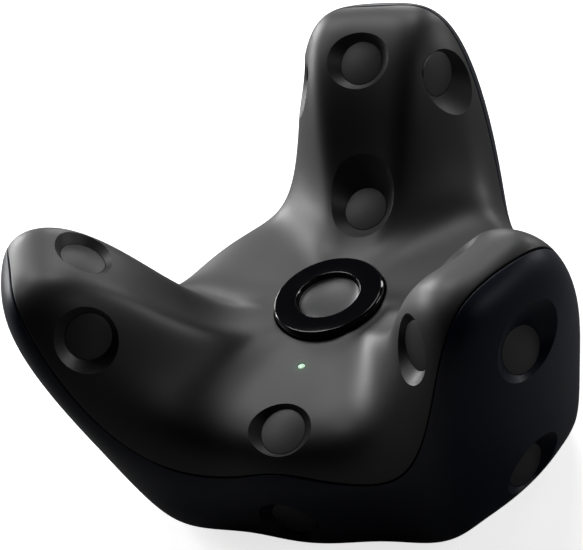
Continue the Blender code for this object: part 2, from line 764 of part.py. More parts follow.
def main():
    clear_scene()
    axis = bpy.data.objects.new("body_axis", None)
    axis.location = (0.0, AXIS_Y, 0.0)
    bpy.context.scene.collection.objects.link(axis)

    soft_black = material("soft_black", (0.022, 0.022, 0.024), 0.55)
    navy_black = material("navy_black", (0.008, 0.011, 0.018), 0.42)
    gloss_black = material("gloss_black", (0.005, 0.005, 0.006), 0.08)
    cap_black = material("cap_black", (0.020, 0.020, 0.022), 0.45)
    window_black = material("window_black", (0.030, 0.030, 0.032), 0.35)
    circuit_green = material("circuit_green", (0.010, 0.090, 0.045), 0.5)
    steel = material("steel", (0.60, 0.60, 0.62), 0.3, 1.0)
    brass = material("brass", (0.75, 0.55, 0.24), 0.3, 1.0)
    chip_black = material("chip_black", (0.015, 0.015, 0.016), 0.4)
    ceramic = material("ceramic", (0.72, 0.70, 0.64), 0.5)
    tray_grey = material("tray_grey", (0.10, 0.10, 0.11), 0.6)
    cell_silver = material("cell_silver", (0.42, 0.43, 0.45), 0.35, 0.6)
    pad_rubber = material("pad_rubber", (0.018, 0.018, 0.018), 0.85)
    light_clear = material("light_clear", (0.80, 0.88, 0.82), 0.2)

    places = dimple_places()
    make_top_cover(places, axis, soft_black)
    make_lower_housing(places, axis, navy_black)
    make_dimple_parts(places, axis, window_black, circuit_green)
    make_button(axis, gloss_black, cap_black, steel, ceramic)
    make_light(axis, light_clear, ceramic)
    make_board(axis, circuit_green)
    make_board_parts(axis, steel, chip_black, ceramic)
    make_usb_port(axis, steel)
    make_battery(axis, tray_grey, cell_silver)
    make_base(axis, soft_black, pad_rubber, brass, chip_black)
    make_screws(axis, steel)


main()
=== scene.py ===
"""The looks of the motion tracker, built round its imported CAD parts.

The two shells are lofted again here, finer, on the same skin as the CAD: a surface given by an azimuth round
the body's upright axis and a level from the middle of the dish (0) over the parting line (SEAM) to the foot
(FOOT). The skin's own numbers are in millimetres. Everything else is in metres, through MM. Pieces are made
round the body's axis and moved onto it by AXIS at the end.
"""

import json
import math

import bpy
import numpy as np
from mathutils import Matrix, Vector


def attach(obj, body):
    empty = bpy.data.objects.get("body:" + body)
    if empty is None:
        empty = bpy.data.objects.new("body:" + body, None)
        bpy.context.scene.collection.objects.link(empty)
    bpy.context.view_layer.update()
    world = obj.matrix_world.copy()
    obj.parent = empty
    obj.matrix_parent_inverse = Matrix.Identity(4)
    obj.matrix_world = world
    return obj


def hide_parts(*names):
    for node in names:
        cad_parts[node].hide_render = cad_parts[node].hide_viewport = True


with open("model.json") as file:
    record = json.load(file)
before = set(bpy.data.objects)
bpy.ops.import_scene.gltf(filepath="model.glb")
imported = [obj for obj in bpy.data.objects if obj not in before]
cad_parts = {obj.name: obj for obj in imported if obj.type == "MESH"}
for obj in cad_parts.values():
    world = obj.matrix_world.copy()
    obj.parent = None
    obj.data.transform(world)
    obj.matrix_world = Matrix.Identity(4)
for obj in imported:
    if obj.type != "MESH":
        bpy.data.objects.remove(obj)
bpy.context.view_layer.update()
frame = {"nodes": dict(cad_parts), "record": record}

MM = 0.001
AXIS = Vector((0.0, -7.25 * MM, 0.0))

# The skin, as in the CAD: reaches and profiles in millimetres.
ARM_REACH = 40.4
REAR_ARM_EXTRA = 1.3
WEB_REACH = 28.7
FRONT_WEB_REACH = 26.8
ARM_PROFILE = (
    (0.0, 22.3), (8.4, 22.3), (17.2, 26.7), (25.0, 36.8), (32.8, 43.6), (39.7, 42.7),
    (41.3, 34.5), (38.6, 22.1), (34.7, 8.7), (29.6, 1.0), (20.5, 0.8),
)
WEB_PROFILE = (
    (0.0, 22.3), (8.3, 22.4), (16.1, 22.0), (22.7, 21.5), (26.9, 19.8), (28.9, 16.1),
    (29.1, 12.2), (28.1, 6.0), (27.2, 1.6), (25.0, 0.8), (21.5, 0.8),
)
SEAM = 5.0
FOOT = 10.0
OUTLINE_STEEPNESS, OUTLINE_BIAS = 1.83, 1.25
PROFILE_STEEPNESS, PROFILE_BIAS = 2.25, 2.30
REAR_ARM_WIDENING = 0.81
SIDE_ARM_TURN = math.radians(3.5)
FRONT_WEB_HALF_WIDTH = math.radians(32.0)
FRONT_WEB_LIFT = -1.7
REAR_WEB_LIFT = -0.95
FLANK_LIFT, REAR_FLANK_LIFT = 0.52, 0.95
FLANK_SWELL, REAR_FLANK_WAIST = 0.020, 0.047
SEAM_WAVE_BY_SIX, SEAM_WAVE_BY_THREE, SEAM_WAVE_BY_ONE = -0.34, 0.06, -0.14

REAR = math.radians(90.0)
LEFT = math.radians(206.9)
RIGHT = math.radians(333.1)
FRONT = math.radians(270.0)

# The shells: their walls, thicker behind each dimple; the groove between them; and how fine the mesh is.
WALL = 1.8 * MM
CUP_WALL = 1.8 * MM
CUP_OUTER, CUP_BLEND = 9.375 * MM, 3.75 * MM
GROOVE_HALF = 0.13 * MM
EDGE_ROUND = 0.14 * MM
EDGE_STEPS = 4
INNER_LIP = 0.9 * MM
INNER_FOOT = 8.9
ARM_CROWDING = 0.12
COLUMNS = 560
COVER_ROWS = 150
HOUSING_ROWS = 120
INNER_ROWS = 24

# The dimples and their windows.
WINDOW_RADIUS = 3.15 * MM
WINDOW_THICK = 0.9 * MM
WINDOW_ROUND = 0.07 * MM
DIMPLE_HOLE = 3.21 * MM
DIMPLE_DEPTH = 4.5 * MM
DIMPLE_FLARE = 1.12
DIMPLE_TOP = 6.5 * MM

# The dish: its button and its light.
BUTTON_TOP = 23.3 * MM
BUTTON_RADIUS = 7.8 * MM
BUTTON_INNER = 4.4 * MM
BUTTON_GAP = 0.12 * MM
BUTTON_FLANGE = 1.0 * MM
COVER_HOLE = 8.0 * MM
LIGHT_Y = -12.4 * MM
LIGHT_RADIUS = 0.5 * MM
LIGHT_GAP = 0.06 * MM

# The charging port, in the web at the right of the rear arm.
PORT_AZIMUTH = math.radians(30.0)
PORT_REACH, PORT_HEIGHT = 29.0 * MM, 11.87 * MM
PORT_LENGTH, PORT_WIDTH = 9.6 * MM, 3.9 * MM

# The underside.
FLOOR_Z = 0.8 * MM
BASE_OPENING = 17.5 * MM
SCREW_REACH = 24.5 * MM
SCREW_TOWER, SCREW_TOWER_Z = 3.8 * MM, (1.2 * MM, 5.7 * MM)
SCREW_WELL, SCREW_SEAT_Z = 2.6 * MM, 4.2 * MM
PAD_RADIUS = 16.8 * MM
PAD_TOP = 0.7 * MM
SLOT_LENGTH, SLOT_WIDTH = 15.0 * MM, 5.4 * MM
INSERT_RADIUS = 4.4 * MM
INSERT_FLANGE = 6.0 * MM
INSERT_Z = (1.2 * MM, 4.7 * MM, 5.5 * MM, 7.0 * MM)
THREAD_BORE = 3.175 * MM
THREAD_PITCH = 1.27 * MM
THREAD_DEPTH = 0.32 * MM
THREAD_TOP = 6.2 * MM
PIN_RECESS_Y, PIN_RECESS_RADIUS = 12.7 * MM, 3.25 * MM
CONTACT_Y = -12.2 * MM
CONTACT_PITCH = 2.0 * MM

# ---------------------------------------------------------------- the skin


def natural_spline(values):
    """The natural cubic through values at 0, 1, 2 ..., as a function of the position along them."""
    values = np.array(values)
    count = len(values)
    rows = np.eye(count)
    right = np.zeros(count)
    for i in range(1, count - 1):
        rows[i, i - 1:i + 2] = (1.0, 4.0, 1.0)
        right[i] = 6.0 * (values[i - 1] - 2.0 * values[i] + values[i + 1])
    bend = np.linalg.solve(rows, right)

    def at(position):
        low = np.clip(np.floor(position).astype(int), 0, count - 2)
        u = position - low
        straight = (1.0 - u) * values[low] + u * values[low + 1]
        curved = ((1.0 - u) ** 3 - (1.0 - u)) * bend[low] + (u ** 3 - u) * bend[low + 1]
        return straight + curved / 6.0

    return at


ARM_RADIUS = natural_spline([radius / ARM_REACH for radius, _ in ARM_PROFILE])
ARM_HEIGHT = natural_spline([height for _, height in ARM_PROFILE])
WEB_RADIUS = natural_spline([radius / WEB_REACH for radius, _ in WEB_PROFILE])
WEB_HEIGHT = natural_spline([height for _, height in WEB_PROFILE])


def smooth(x):
    x = np.clip(x, 0.0, 1.0)
    return x * x * (3.0 - 2.0 * x)


def passage(share, steepness, bias):
    """0 in the middle of a web, 1 in the middle of an arm."""
    arm = share ** steepness
    web = np.exp(bias) * (1.0 - share) ** steepness
    return arm / (arm + web)


def skin(azimuth, level):
    """Points of the skin. azimuth and level are numbers or arrays that broadcast together."""
    azimuth, level = np.broadcast_arrays(np.asarray(azimuth, float), np.asarray(level, float))
    from_rear = azimuth - REAR
    towards_rear = np.cos(from_rear)
    rear_arm = smooth(np.clip((towards_rear - 0.3) / 0.7, 0.0, 1.0) ** 0.7)
    rear_half = smooth(towards_rear + 0.5)
    turned = from_rear + SIDE_ARM_TURN * np.sin(from_rear)
    share = np.clip(np.cos(1.5 * turned) ** 2, 0.0, 1.0)
    from_front = (azimuth - FRONT + math.pi) % (2.0 * math.pi) - math.pi
    front_web = np.exp(-(from_front / FRONT_WEB_HALF_WIDTH) ** 4)

    outline = passage(share, OUTLINE_STEEPNESS, OUTLINE_BIAS - REAR_ARM_WIDENING * rear_arm)
    profile = passage(share, PROFILE_STEEPNESS, PROFILE_BIAS - REAR_ARM_WIDENING * rear_arm)
    flank = 4.0 * outline * (1.0 - outline)
    web_reach = WEB_REACH + (FRONT_WEB_REACH - WEB_REACH) * front_web
    reach = web_reach + (ARM_REACH + REAR_ARM_EXTRA * rear_arm - web_reach) * outline
    reach = reach * (1.0 + flank * (FLANK_SWELL - REAR_FLANK_WAIST * rear_half))

    wave = SEAM_WAVE_BY_SIX * np.cos(6.0 * from_rear) + SEAM_WAVE_BY_THREE * np.cos(3.0 * from_rear)
    wave = wave + SEAM_WAVE_BY_ONE * np.cos(from_rear)
    seam = SEAM + wave
    above = level * seam / SEAM
    below = seam + (level - SEAM) * (FOOT - seam) / (FOOT - SEAM)
    at = np.where(level <= SEAM, above, below)

    radius = reach * (profile * ARM_RADIUS(at) + (1.0 - profile) * WEB_RADIUS(at))
    lift = FRONT_WEB_LIFT * front_web + REAR_WEB_LIFT * (1.0 - front_web) * (1.0 - profile)
    lift = lift + flank * (FLANK_LIFT + REAR_FLANK_LIFT * rear_half)
    hump = np.clip(at / SEAM, 0.0, 1.0) * np.clip((FOOT - at) / SEAM, 0.0, 1.0)
    height = profile * ARM_HEIGHT(at) + (1.0 - profile) * WEB_HEIGHT(at) + lift * hump
    return np.stack([radius * np.cos(azimuth), radius * np.sin(azimuth), height], -1) * MM


def skin_normal(azimuth, level):
    """The outward normal, from two short steps along the skin."""
    step = 0.02
    level = np.clip(level, 0.1, FOOT - step)
    along = skin(azimuth, level + step) - skin(azimuth, level - step)
    around = skin(azimuth + step, level) - skin(azimuth - step, level)
    normal = np.cross(along, around)
    return normal / np.linalg.norm(normal, axis=-1, keepdims=True)


def direction(azimuth, elevation):
    flat = math.cos(elevation)
    return Vector((flat * math.cos(azimuth), flat * math.sin(azimuth), math.sin(elevation)))


def dimple_places():
    """Every dimple's name, shell, and matrix: its origin is the window's face, and its Z points out."""
    places = []

    def add(name, shell, azimuth, level, depth, facing, elevation):
        outward = direction(facing, math.radians(elevation))
        centre = Vector(skin(azimuth, level)) - outward * (depth * MM)
        turn = outward.to_track_quat("Z", "Y").to_matrix().to_4x4()
        places.append((name, shell, Matrix.Translation(centre) @ turn))

    def add_arm(arm_name, arm, inner_turn, inner_level, flank_turn, flank_level, depth, facing_turn, rise):
        inner = arm + math.radians(inner_turn)
        add(f"{arm_name}_arm_inner", "cover", inner, inner_level, 1.2, arm + math.pi, 52.0)
        for side_name, side in (("a", 1.0), ("b", -1.0)):
            place = arm + math.radians(flank_turn) * side
            facing = arm + math.radians(facing_turn) * side
            add(f"{arm_name}_arm_flank_{side_name}", "cover", place, flank_level, depth, facing, rise)
        add(f"{arm_name}_arm_end", "housing", arm, 6.45, 2.0, arm, 10.0)
        add(f"{arm_name}_arm_foot", "housing", arm, 8.25, 1.6, arm, -6.0)

    add_arm("rear", REAR, 1.0, 3.8, 19.4, 4.02, 1.1, 107.0, 6.0)
    add_arm("left", LEFT, -3.0, 3.6, 18.7, 3.8, 1.4, 106.0, 22.0)
    add_arm("right", RIGHT, 3.0, 3.6, 18.7, 3.8, 1.4, 106.0, 22.0)
    add("rear_root", "cover", REAR - math.radians(1.0), 2.0, 1.3, REAR + math.pi, 60.0)
    add("front_web", "cover", FRONT, 3.47, 1.3, FRONT, 66.0)
    add("front_wall", "housing", FRONT - math.radians(4.0), 7.15, 1.4, FRONT - math.radians(2.0), -5.0)
    return places


# ---------------------------------------------------------------- meshes


def new_mesh_object(name, points, faces, finish, place=None, sharp=30.0):
    mesh = bpy.data.meshes.new(name)
    mesh.from_pydata(points, [], faces)
    mesh.update()
    mesh.shade_smooth()
    mesh.set_sharp_from_angle(angle=math.radians(sharp))
    made = bpy.data.objects.new(name, mesh)
    if finish:
        mesh.materials.append(finish)
    if place is not None:
        made.matrix_world = place
    bpy.context.scene.collection.objects.link(made)
    return made


def grid_faces(rows, columns, closed):
    """Quads between rows of points that each run once round; closed joins the last row to the first."""
    faces = []
    for row in range(rows if closed else rows - 1):
        low, high = row * columns, (row + 1) % rows * columns
        for i in range(columns):
            j = (i + 1) % columns
            faces.append((low + i, low + j, high + j, high + i))
    return faces


def turned_solid(name, profile, finish, place, steps=96, sharp=30.0):
    """A solid turned round Z from (radius, height) points. They start and end on the axis, or form a loop."""
    on_axis = profile[0][0] < 1e-9
    body = profile[1:-1] if on_axis else profile
    turns = np.arange(steps) * (2.0 * math.pi / steps)
    points = []
    for radius, height in body:
        points += [(radius * math.cos(a), radius * math.sin(a), height) for a in turns]
    faces = grid_faces(len(body), steps, closed=not on_axis)
    if on_axis:
        first, last = len(points), len(points) + 1
        points += [(0.0, 0.0, profile[0][1]), (0.0, 0.0, profile[-1][1])]
        top = (len(body) - 1) * steps
        for i in range(steps):
            j = (i + 1) % steps
            faces.append((first, j, i))
            faces.append((last, top + i, top + j))
    made = new_mesh_object(name, points, faces, finish, place, sharp)
    face_out(made.data)
    return made


def face_out(mesh):
    """Turns the faces of a closed mesh outwards."""
    mesh.calc_loop_triangles()
    corners = np.empty(len(mesh.loop_triangles) * 3, np.int32)
    mesh.loop_triangles.foreach_get("vertices", corners)
    points = np.empty(len(mesh.vertices) * 3)
    mesh.vertices.foreach_get("co", points)
    a, b, c = points.reshape(-1, 3)[corners.reshape(-1, 3)].transpose(1, 0, 2)
    if np.einsum("ij,ij->", a, np.cross(b, c)) < 0.0:
        mesh.flip_normals()


def rounded(corner, toward_a, toward_b, radius, steps=4):
    """Points that round off a profile's corner, from the side of a to the side of b."""
    corner, a, b = (np.array(p, float) for p in (corner, toward_a, toward_b))
    start = corner + (a - corner) / np.linalg.norm(a - corner) * radius
    end = corner + (b - corner) / np.linalg.norm(b - corner) * radius
    turns = [i / steps for i in range(steps + 1)]
    return [tuple((1 - t) ** 2 * start + 2 * t * (1 - t) * corner + t * t * end) for t in turns]


def rounded_profile(points, radii):
    """A loop of profile points with each corner rounded by its radius, or left sharp at 0."""
    made = []
    count = len(points)
    for i, (point, radius) in enumerate(zip(points, radii)):
        if radius > 0.0:
            made += rounded(point, points[i - 1], points[(i + 1) % count], radius)
        else:
            made.append(point)
    return made


def apply_cuts(target, cuts):
    """Applies Boolean steps to a mesh. Each is (operation, cutter), and the cutters are removed."""
    for operation, cutter in cuts:
        step = target.modifiers.new(cutter.name, "BOOLEAN")
        step.operation = operation
        step.solver = "MANIFOLD"
        step.object = cutter
    bpy.context.view_layer.update()
    shape = target.evaluated_get(bpy.context.evaluated_depsgraph_get())
    mesh = bpy.data.meshes.new_from_object(shape)
    target.modifiers.clear()
    target.data = mesh
    mesh.shade_smooth()
    mesh.set_sharp_from_angle(angle=math.radians(24.0))
    for _, cutter in cuts:
        bpy.data.objects.remove(cutter)


def stadium_prism(name, length, width, low, high, place, steps=16):
    """A prism whose outline is a rectangle with half-round ends."""
    radius = width / 2.0
    reach = length / 2.0 - radius
    turns = [math.pi * i / steps - math.pi / 2.0 for i in range(steps + 1)]
    half = [(reach + radius * math.cos(a), radius * math.sin(a)) for a in turns]
    outline = half + [(-x, -y) for x, y in half]
    count = len(outline)
    points = [(x, y, low) for x, y in outline] + [(x, y, high) for x, y in outline]
    faces = grid_faces(2, count, closed=False)
    faces += [tuple(range(count - 1, -1, -1)), tuple(range(count, 2 * count))]
    made = new_mesh_object(name, points, faces, None, place)
    face_out(made.data)
    return made


def cylinder(name, radius, low, high, place, steps=64):
    return turned_solid(name, ((0.0, low), (radius, low), (radius, high), (0.0, high)), None, place, steps)


# ---------------------------------------------------------------- the shells


def column_azimuths():
    """Azimuths round the body, closer together on the arms."""
    turns = np.arange(COLUMNS) * (2.0 * math.pi / COLUMNS)
    return turns - ARM_CROWDING * np.sin(3.0 * (turns - REAR))


TURNS = column_azimuths()
PLACES = dimple_places()


def level_at_radius(radius):
    """For each column, the level at which the skin is that far from the axis."""
    low, high = np.full(COLUMNS, 0.2), np.full(COLUMNS, 3.0)
    for _ in range(40):
        middle = (low + high) / 2.0
        points = skin(TURNS, middle)
        inside = np.hypot(points[:, 0], points[:, 1]) < radius
        low, high = np.where(inside, middle, low), np.where(inside, high, middle)
    return low


def seam_level(distance):
    """For each column, the level at a distance along the skin from the parting line."""
    step = 0.01
    pace = np.linalg.norm(skin(TURNS, SEAM + step) - skin(TURNS, SEAM - step), axis=-1) / (2.0 * step)
    return SEAM + distance / pace


def inner_row(level, shell_name):
    """A row of the shell's inner face, which keeps further from the skin behind each dimple."""
    outer = skin(TURNS, level)
    depth = np.full(COLUMNS, WALL)
    for _, owner, matrix in PLACES:
        if owner == shell_name:
            far = np.linalg.norm(outer - np.array(matrix.translation), axis=-1)
            depth = np.maximum(depth, WALL + CUP_WALL * smooth((CUP_OUTER - far) / CUP_BLEND))
    return outer - depth[:, None] * skin_normal(TURNS, level)


def edge_rows(side):
    """The rounded edge of a shell at the parting line. side is -1 for the cover and 1 for the housing."""
    rows = []
    for i in range(EDGE_STEPS + 1):
        angle = math.pi / 2.0 * i / EDGE_STEPS
        along = GROOVE_HALF + EDGE_ROUND * (1.0 - math.sin(angle))
        depth = EDGE_ROUND * (1.0 - math.cos(angle))
        level = seam_level(side * along)
        rows.append(skin(TURNS, level) - depth * skin_normal(TURNS, level))
    level = seam_level(side * GROOVE_HALF)
    rows.append(skin(TURNS, level) - WALL * skin_normal(TURNS, level))
    return rows


def ring_row(radius, height):
    """A round row; the height is a number, or one for each column."""
    height = np.broadcast_to(height, TURNS.shape)
    return np.stack([radius * np.cos(TURNS), radius * np.sin(TURNS), height], -1)


def inner_rows(first, last, shell_name):
    return [inner_row(first + (last - first) * i / INNER_ROWS, shell_name) for i in range(INNER_ROWS + 1)]


def shell_object(name, rows, finish):
    points = np.concatenate(rows)
    made = new_mesh_object(name, points.tolist(), grid_faces(len(rows), COLUMNS, closed=True), finish)
    face_out(made.data)
    return made


def dimple_cuts(shell_name):
    """The cone and the window's hole below it, for each dimple of a shell."""
    profile = (
        (0.0, -DIMPLE_DEPTH), (DIMPLE_HOLE, -DIMPLE_DEPTH), (DIMPLE_HOLE, 0.0),
        (DIMPLE_HOLE + DIMPLE_TOP * DIMPLE_FLARE, DIMPLE_TOP), (0.0, DIMPLE_TOP),
    )
    cuts = []
    for name, owner, matrix in PLACES:
        if owner == shell_name:
            cuts.append(("DIFFERENCE", turned_solid(f"dimple_tool_{name}", profile, None, matrix, 120)))
    return cuts


def make_cover(finish):
    hole = level_at_radius(COVER_HOLE + EDGE_ROUND)
    rim = skin(TURNS, hole)[:, 2]
    last = seam_level(-(GROOVE_HALF + EDGE_ROUND))
    rows = [ring_row(COVER_HOLE, rim - WALL), ring_row(COVER_HOLE, rim - EDGE_ROUND)]
    rows.append(ring_row(COVER_HOLE + 0.3 * EDGE_ROUND, rim - 0.3 * EDGE_ROUND))
    rows += [skin(TURNS, hole + (last - hole) * i / COVER_ROWS) for i in range(COVER_ROWS)]
    rows += edge_rows(-1.0)
    inner_hole = level_at_radius(COVER_HOLE + 0.8 * MM)
    rows += inner_rows(seam_level(-INNER_LIP), inner_hole, "cover")
    cover = shell_object("top_cover_shell", rows, finish)
    light = Matrix.Translation((0.0, LIGHT_Y, 0.0))
    light_tool = cylinder("light_tool", LIGHT_RADIUS + LIGHT_GAP, 15 * MM, 30 * MM, light, 32)
    apply_cuts(cover, dimple_cuts("cover") + [("DIFFERENCE", light_tool)])
    return cover


def port_matrix():
    """The charging port's frame: Z points out through the web's wall."""
    place = (PORT_REACH * math.cos(PORT_AZIMUTH), PORT_REACH * math.sin(PORT_AZIMUTH), PORT_HEIGHT)
    turn = Matrix.Rotation(PORT_AZIMUTH + math.pi / 2.0, 4, "Z") @ Matrix.Rotation(math.pi / 2.0, 4, "X")
    return Matrix.Translation(place) @ turn


def make_housing(finish):
    first = seam_level(GROOVE_HALF + EDGE_ROUND)
    rows = edge_rows(1.0)[::-1]
    rows += [skin(TURNS, first + (FOOT - first) * i / HOUSING_ROWS) for i in range(1, HOUSING_ROWS + 1)]
    rows += [ring_row(BASE_OPENING + 0.25 * MM, FLOOR_Z), ring_row(BASE_OPENING, FLOOR_Z + 0.25 * MM)]
    rows.append(ring_row(BASE_OPENING, FLOOR_Z + WALL))
    rows += inner_rows(INNER_FOOT, seam_level(INNER_LIP), "housing")
    housing = shell_object("lower_housing_shell", rows, finish)
    cuts = []
    for name, arm in (("rear", REAR), ("left", LEFT), ("right", RIGHT)):
        place = Matrix.Translation((SCREW_REACH * math.cos(arm), SCREW_REACH * math.sin(arm), 0.0))
        cuts.append(("UNION", cylinder(f"tower_tool_{name}", SCREW_TOWER, *SCREW_TOWER_Z, place)))
        cuts.append(("DIFFERENCE", cylinder(f"well_tool_{name}", SCREW_WELL, -MM, SCREW_SEAT_Z, place)))
    cuts += dimple_cuts("housing")
    port = stadium_prism("port_tool", PORT_LENGTH, PORT_WIDTH, -8.0 * MM, 8.0 * MM, port_matrix())
    cuts.append(("DIFFERENCE", port))
    apply_cuts(housing, cuts)
    return housing


# ---------------------------------------------------------------- small pieces


def make_windows(finish):
    made = []
    edge = WINDOW_ROUND
    profile = [(0.0, -WINDOW_THICK), (WINDOW_RADIUS, -WINDOW_THICK), (WINDOW_RADIUS, -edge)]
    profile += [(WINDOW_RADIUS - 0.3 * edge, -0.3 * edge), (WINDOW_RADIUS - edge, 0.0), (0.0, 0.0)]
    for name, _, matrix in PLACES:
        piece = turned_solid(f"window_disc_{name}", profile, finish, matrix, 96)
        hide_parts(f"window_{name}")
        made.append(piece)
    return made


def make_button(gloss, matte):
    """The gloss ring with its bright bevels, and the matte dished centre."""
    place = Matrix.Translation((0.0, 0.0, BUTTON_TOP))
    outline = (
        (BUTTON_INNER, -0.40 * MM), (BUTTON_INNER + 0.20 * MM, 0.0), (BUTTON_RADIUS - 0.25 * MM, 0.0),
        (BUTTON_RADIUS, -0.25 * MM), (BUTTON_RADIUS, -3.3 * MM),
        (BUTTON_RADIUS + BUTTON_FLANGE, -3.3 * MM), (BUTTON_RADIUS + BUTTON_FLANGE, -3.7 * MM),
        (BUTTON_INNER, -3.7 * MM),
    )
    rounds = (0.06 * MM, 0.06 * MM, 0.06 * MM, 0.06 * MM, 0.0, 0.0, 0.0, 0.0)
    ring = turned_solid("button_ring_gloss", rounded_profile(outline, rounds), gloss, place, 160)
    radius = BUTTON_INNER - BUTTON_GAP
    turns = [math.radians(5.0 * i) for i in range(19)]
    dish = [(radius * math.cos(a), -0.60 * MM - 0.75 * MM * math.sin(a)) for a in turns]
    profile = [(0.0, -4.6 * MM), (radius - 0.5 * MM, -4.6 * MM), (radius, -4.1 * MM)]
    profile += dish[:-1] + [(0.0, dish[-1][1])]
    cap = turned_solid("button_cap_dished", profile, matte, place, 128)
    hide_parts("power_button_ring")
    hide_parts("power_button_cap")
    return ring, cap


def light_top():
    """The height of the skin where the status light comes through it."""
    low, high = 0.5, SEAM
    for _ in range(40):
        middle = (low + high) / 2.0
        if skin(FRONT, middle)[1] > LIGHT_Y:
            low = middle
        else:
            high = middle
    return float(skin(FRONT, low)[2])


def make_light(finish):
    top = light_top()
    edge = 0.12 * MM
    profile = [(0.0, top - 4.0 * MM), (LIGHT_RADIUS, top - 4.0 * MM), (LIGHT_RADIUS, top - edge)]
    profile += [(LIGHT_RADIUS - 0.3 * edge, top - 0.3 * edge), (LIGHT_RADIUS - edge, top)]
    profile.append((0.0, top + 0.04 * MM))
    lens = turned_solid("status_light_lens", profile, finish, Matrix.Translation((0.0, LIGHT_Y, 0.0)), 48)
    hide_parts("status_light_pipe")
    return lens


def make_pad(finish):
    """The rubber ring under the base, with a slot for the contacts and a hole for a locating pin."""
    outline = ((INSERT_FLANGE, 0.0), (PAD_RADIUS, 0.0), (PAD_RADIUS, PAD_TOP), (INSERT_FLANGE, PAD_TOP))
    profile = rounded_profile(outline, (0.25 * MM, 0.25 * MM, 0.0, 0.0))
    pad = turned_solid("friction_pad_ring", profile, finish, None, 160)
    slot_place = Matrix.Translation((0.0, CONTACT_Y, 0.0))
    slot = stadium_prism("slot_tool", SLOT_LENGTH, SLOT_WIDTH, -MM, 2 * MM, slot_place)
    pin_place = Matrix.Translation((0.0, PIN_RECESS_Y, 0.0))
    pin = cylinder("pin_tool", PIN_RECESS_RADIUS, -MM, 2 * MM, pin_place)
    apply_cuts(pad, [("DIFFERENCE", slot), ("DIFFERENCE", pin)])
    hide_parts("friction_pad")
    return pad


def make_insert(finish):
    """The brass insert, with a quarter-inch thread cut round its bore."""
    base, flange_low, flange_top, crown = INSERT_Z
    steps, rows_per_turn = 96, 12
    turns = np.arange(steps) * (2.0 * math.pi / steps)
    rows = []

    def ring(radius, height):
        rows.append(np.stack([radius * np.cos(turns), radius * np.sin(turns), np.full(steps, height)], -1))

    ring(THREAD_BORE * 0.2, THREAD_TOP)
    ring(THREAD_BORE, THREAD_TOP)
    count = int((THREAD_TOP - base - 0.6 * MM) / THREAD_PITCH * rows_per_turn)
    for i in range(count + 1):
        height = THREAD_TOP - 0.2 * MM - i * THREAD_PITCH / rows_per_turn
        phase = (height / THREAD_PITCH + turns / (2.0 * math.pi)) % 1.0
        ring(THREAD_BORE + THREAD_DEPTH * (1.0 - np.abs(2.0 * phase - 1.0)), height)
    for radius, height in (
        (THREAD_BORE + 0.5 * MM, base), (INSERT_RADIUS, base), (INSERT_RADIUS, flange_low),
        (INSERT_FLANGE, flange_low), (INSERT_FLANGE, flange_top), (INSERT_RADIUS, flange_top),
        (INSERT_RADIUS, crown), (THREAD_BORE * 0.2, crown),
    ):
        ring(radius, height)
    points = np.concatenate(rows).tolist()
    faces = grid_faces(len(rows), steps, closed=False)
    faces += [tuple(range(steps - 1, -1, -1)), tuple(range(len(points) - steps, len(points)))]
    insert = new_mesh_object("thread_insert_brass", points, faces, finish)
    face_out(insert.data)
    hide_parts("thread_insert")
    return insert


def make_contacts(finish):
    """Six gold pads on the contact block."""
    outline = (
        (0.0, 0.78 * MM), (0.62 * MM, 0.78 * MM), (0.70 * MM, 0.86 * MM),
        (0.70 * MM, 1.1 * MM), (0.0, 1.1 * MM),
    )
    made = []
    for i in range(6):
        place = Matrix.Translation(((i - 2.5) * CONTACT_PITCH, CONTACT_Y, 0.0))
        made.append(turned_solid(f"contact_pad_{i}", outline, finish, place, 32))
    return made


# ---------------------------------------------------------------- finishes


def shader_material(name, colour, roughness, metallic=0.0, specular=0.5):
    made = bpy.data.materials.new(name)
    made.use_nodes = True
    shader = made.node_tree.nodes["Principled BSDF"]
    shader.inputs["Base Color"].default_value = (*colour, 1.0)
    shader.inputs["Roughness"].default_value = roughness
    shader.inputs["Metallic"].default_value = metallic
    shader.inputs["Specular IOR Level"].default_value = specular
    return made, made.node_tree.nodes, made.node_tree.links, shader


def moulded(name, colour, roughness, grain, height, specular=0.5, metallic=0.0, spread=0.04):
    """Moulded plastic or metal, with a fine grain and slow, slight changes in its roughness and colour."""
    made, nodes, links, shader = shader_material(name, colour, roughness, metallic, specular)
    place = nodes.new("ShaderNodeTexCoord")
    fine = nodes.new("ShaderNodeTexNoise")
    fine.inputs["Scale"].default_value = 1.0 / grain
    fine.inputs["Detail"].default_value = 2.0
    bump = nodes.new("ShaderNodeBump")
    bump.inputs["Strength"].default_value = 1.0
    bump.inputs["Distance"].default_value = height
    slow = nodes.new("ShaderNodeTexNoise")
    slow.inputs["Scale"].default_value = 140.0
    slow.inputs["Detail"].default_value = 4.0
    rough = nodes.new("ShaderNodeMapRange")
    rough.inputs["To Min"].default_value = roughness - spread
    rough.inputs["To Max"].default_value = roughness + spread
    tint = nodes.new("ShaderNodeMix")
    tint.data_type = "RGBA"
    tint.inputs["A"].default_value = (*[0.9 * c for c in colour], 1.0)
    tint.inputs["B"].default_value = (*[1.1 * c for c in colour], 1.0)
    links.new(place.outputs["Object"], fine.inputs["Vector"])
    links.new(place.outputs["Object"], slow.inputs["Vector"])
    links.new(fine.outputs["Fac"], bump.inputs["Height"])
    links.new(bump.outputs["Normal"], shader.inputs["Normal"])
    links.new(slow.outputs["Fac"], rough.inputs["Value"])
    links.new(rough.outputs["Result"], shader.inputs["Roughness"])
    links.new(slow.outputs["Fac"], tint.inputs["Factor"])
    links.new(tint.outputs["Result"], shader.inputs["Base Color"])
    return made


